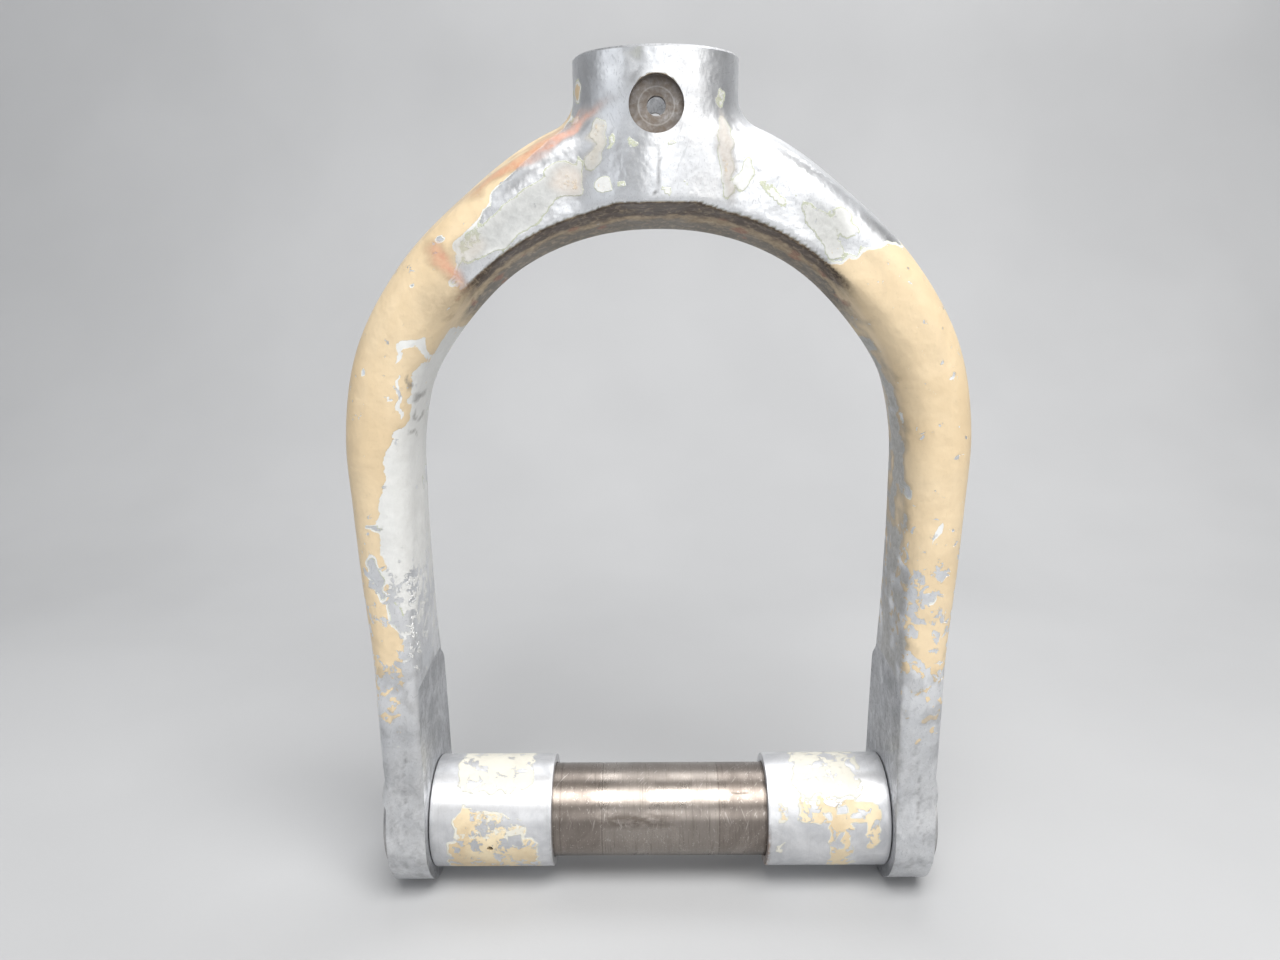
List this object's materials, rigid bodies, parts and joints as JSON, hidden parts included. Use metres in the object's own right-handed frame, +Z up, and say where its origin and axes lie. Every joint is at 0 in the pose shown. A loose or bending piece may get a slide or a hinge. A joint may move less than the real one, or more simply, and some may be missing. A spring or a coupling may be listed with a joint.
{
  "type": "aircraft nose gear fork",
  "caption": "Arched nose landing-gear fork with a strut socket on top and a through axle, sleeve spacers and recessed tow-bar cups between its arms.",
  "frame": {"origin": "centre of the strut socket's mouth, in the plane of the collar's rim", "axes": "+Z up along the strut socket's axis, X along the wheel axle, -Y towards the side the fork is seen from"},
  "size_m": [0.2382, 0.0582, 0.3279],
  "materials": {
    "fork_alloy": "cast or forged aluminium alloy with worn tan paint, sanded bare round the collar and shoulders",
    "axle_steel": "polished brown-grey bearing steel with wear bands",
    "spacer_aluminium": "satin turned aluminium with flaking paint",
    "cup_steel": "bright turned steel",
    "plated_steel": "yellow cadmium-plated steel"
  },
  "bodies": {
    "fork": {"fork_yoke": "fork_alloy"},
    "axle": {"axle_tube": "axle_steel", "axle_cup_left": "cup_steel", "axle_cup_right": "cup_steel", "tie_stud": "plated_steel", "stud_washer_left": "plated_steel", "stud_washer_right": "plated_steel", "castle_nut_left": "plated_steel", "castle_nut_right": "plated_steel", "cotter_pin_left": "plated_steel", "cotter_pin_right": "plated_steel"},
    "spacer_left_body": {"spacer_left": "spacer_aluminium"},
    "spacer_right_body": {"spacer_right": "spacer_aluminium"}
  },
  "joints": [
    {"name": "axle_spin", "type": "hinge", "parent": "fork", "child": "axle", "pos_m": [0, 0, -0.3], "axis": [1, 0, 0], "continuous": true},
    {"name": "spacer_left_slide", "type": "slide", "parent": "axle", "child": "spacer_left_body", "axis": [1, 0, 0], "range_m": [0, 0.044]},
    {"name": "spacer_right_slide", "type": "slide", "parent": "axle", "child": "spacer_right_body", "axis": [-1, 0, 0], "range_m": [0, 0.044]}
  ]
}
